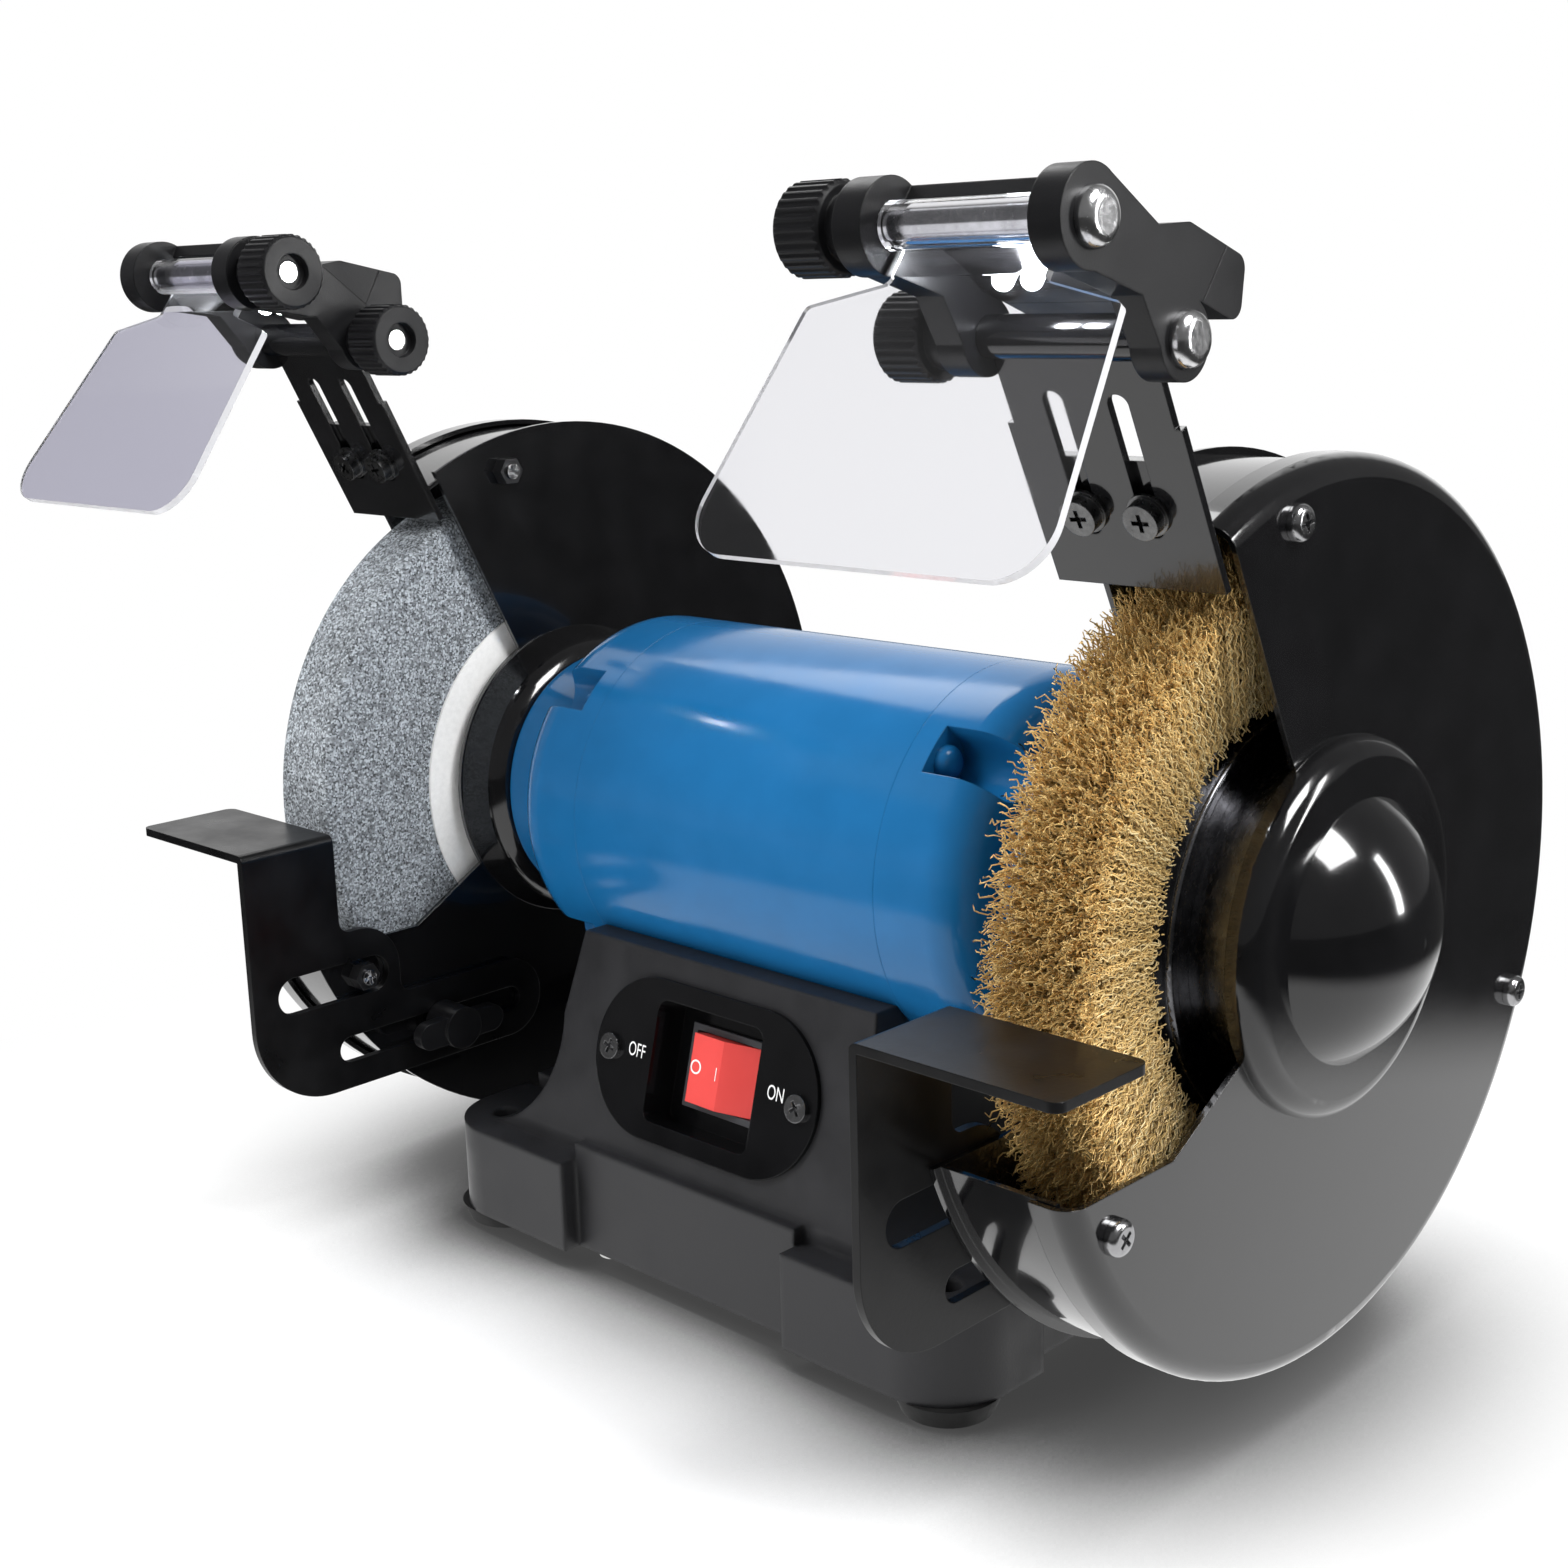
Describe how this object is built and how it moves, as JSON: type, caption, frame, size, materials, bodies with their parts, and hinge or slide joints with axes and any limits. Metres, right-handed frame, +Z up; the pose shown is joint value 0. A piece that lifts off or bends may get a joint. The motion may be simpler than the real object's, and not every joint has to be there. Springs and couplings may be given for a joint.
{
  "type": "bench grinder",
  "caption": "Bench grinder with a grinding wheel and a wire brush in guards, tool rests, clear eye shields with lamps, and a rocker switch on a cast base.",
  "frame": {"origin": "on the bench, at the centre of the rectangle of bench bolts in the feet, below the middle of the shaft", "axes": "+X along the shaft towards the wire brush, +Y to the back, +Z up"},
  "size_m": [0.3884, 0.2835, 0.3183],
  "materials": {
    "base_black": "satin black paint on a casting",
    "sheet_steel": "plain sheet steel",
    "zinc": "bright zinc plate",
    "black_screw": "black oxide",
    "rubber": "matt black rubber",
    "black_plastic": "fine matt black plastic",
    "capacitor_can": "white plastic can",
    "terminal_brass": "bright",
    "red_plastic": "gloss red plastic",
    "motor_blue": "gloss blue paint",
    "laminations": "stacked sheets",
    "copper": "enamelled copper wire",
    "bearing_steel": "polished",
    "shaft_steel": "turned steel",
    "abrasive": "rough grey abrasive grain",
    "paper": "white paper",
    "brass_wire": "crimped brass coated wire",
    "guard_black": "gloss black powder coat",
    "lens": "clear lens",
    "clear_shield": "clear polycarbonate"
  },
  "bodies": {
    "base": {"base_casting": "base_black", "bearing_outer_rings": "bearing_steel", "bottom_plate": "sheet_steel", "bottom_plate_screws": "zinc", "bracket_screws": "black_screw", "capacitor_clip": "sheet_steel", "cord_gland": "black_plastic", "guard_cover_nuts": "zinc", "guard_cover_screws": "black_screw", "guard_mount_screws": "zinc", "left_end_bell": "motor_blue", "left_guard_cover": "guard_black", "left_guard_shell": "guard_black", "motor_shell": "motor_blue", "motor_tie_bolts": "motor_blue", "right_end_bell": "motor_blue", "right_guard_cover": "guard_black", "right_guard_shell": "guard_black", "rubber_feet": "rubber", "run_capacitor": "capacitor_can", "stator_core": "laminations", "stator_windings": "copper", "switch_body": "black_plastic", "switch_plate": "base_black", "switch_plate_screws": "zinc", "switch_terminals": "terminal_brass"},
    "rotor": {"shaft": "shaft_steel", "rotor_core": "laminations", "bearing_inner_rings": "bearing_steel", "bearing_balls": "bearing_steel", "grinding_wheel": "abrasive", "wheel_blotters": "paper", "wheel_flanges": "shaft_steel", "wire_brush": "brass_wire", "brush_discs": "shaft_steel", "brush_flanges": "shaft_steel", "spindle_nuts": "shaft_steel"},
    "rocker": {"switch_rocker": "red_plastic"},
    "left_rest": {"left_tool_rest": "guard_black"},
    "left_wing_bolt": {"left_rest_wing_bolt": "black_plastic"},
    "left_bracket": {"left_shield_bracket": "guard_black"},
    "left_lamp": {"left_lamp_housing": "black_plastic", "left_battery_door": "black_plastic", "left_lamp_leds": "lens", "left_lamp_bolts": "zinc"},
    "left_lamp_knob_body": {"left_lamp_knob": "black_plastic"},
    "left_shield_knob_body": {"left_shield_knob": "black_plastic"},
    "left_shield": {"left_eye_shield": "clear_shield"},
    "right_rest": {"right_tool_rest": "guard_black"},
    "right_wing_bolt": {"right_rest_wing_bolt": "black_plastic"},
    "right_bracket": {"right_shield_bracket": "guard_black"},
    "right_lamp": {"right_lamp_housing": "black_plastic", "right_battery_door": "black_plastic", "right_lamp_leds": "lens", "right_lamp_bolts": "zinc"},
    "right_lamp_knob_body": {"right_lamp_knob": "black_plastic"},
    "right_shield_knob_body": {"right_shield_knob": "black_plastic"},
    "right_shield": {"right_eye_shield": "clear_shield"}
  },
  "joints": [
    {"name": "spindle_spin", "type": "hinge", "parent": "base", "child": "rotor", "pos_m": [0, 0, 0.1338], "axis": [1, 0, 0], "continuous": true},
    {"name": "switch_rock", "type": "hinge", "parent": "base", "child": "rocker", "pos_m": [0, -0.05221, 0.06719], "axis": [0, -0.2588, -0.9659], "range_deg": [0, 24]},
    {"name": "left_rest_slide", "type": "slide", "parent": "base", "child": "left_rest", "axis": [0, 1, 0], "range_m": [-0.004, 0.002]},
    {"name": "left_wing_bolt_turn", "type": "hinge", "parent": "base", "child": "left_wing_bolt", "pos_m": [-0.125, -0.066, 0.0595], "axis": [1, 0, 0], "range_deg": [0, 360]},
    {"name": "left_bracket_slide", "type": "slide", "parent": "base", "child": "left_bracket", "axis": [0, -0.4462, 0.8949], "range_m": [-0.005, 0.003]},
    {"name": "left_lamp_tilt", "type": "hinge", "parent": "left_bracket", "child": "left_lamp", "pos_m": [-0.1467, -0.08364, 0.28318], "axis": [1, 0, 0], "range_deg": [-25, 25]},
    {"name": "left_lamp_knob_turn", "type": "hinge", "parent": "left_lamp", "child": "left_lamp_knob_body", "pos_m": [-0.105, -0.08364, 0.28318], "axis": [1, 0, 0], "range_deg": [0, 360]},
    {"name": "left_shield_knob_turn", "type": "hinge", "parent": "left_lamp", "child": "left_shield_knob_body", "pos_m": [-0.105, -0.11932, 0.30336], "axis": [1, 0, 0], "range_deg": [0, 360]},
    {"name": "left_shield_tilt", "type": "hinge", "parent": "left_lamp", "child": "left_shield", "pos_m": [-0.1467, -0.11932, 0.30336], "axis": [1, 0, 0], "range_deg": [-60, 20]},
    {"name": "right_rest_slide", "type": "slide", "parent": "base", "child": "right_rest", "axis": [0, 1, 0], "range_m": [-0.004, 0.002]},
    {"name": "right_wing_bolt_turn", "type": "hinge", "parent": "base", "child": "right_wing_bolt", "pos_m": [0.125, -0.066, 0.0595], "axis": [1, 0, 0], "range_deg": [0, 360]},
    {"name": "right_bracket_slide", "type": "slide", "parent": "base", "child": "right_bracket", "axis": [0, -0.4462, 0.8949], "range_m": [-0.005, 0.003]},
    {"name": "right_lamp_tilt", "type": "hinge", "parent": "right_bracket", "child": "right_lamp", "pos_m": [0.1467, -0.08364, 0.28318], "axis": [1, 0, 0], "range_deg": [-25, 25]},
    {"name": "right_lamp_knob_turn", "type": "hinge", "parent": "right_lamp", "child": "right_lamp_knob_body", "pos_m": [0.105, -0.08364, 0.28318], "axis": [1, 0, 0], "range_deg": [0, 360]},
    {"name": "right_shield_knob_turn", "type": "hinge", "parent": "right_lamp", "child": "right_shield_knob_body", "pos_m": [0.105, -0.11638, 0.30785], "axis": [1, 0, 0], "range_deg": [0, 360]},
    {"name": "right_shield_tilt", "type": "hinge", "parent": "right_lamp", "child": "right_shield", "pos_m": [0.1467, -0.11638, 0.30785], "axis": [1, 0, 0], "range_deg": [-60, 20]}
  ]
}
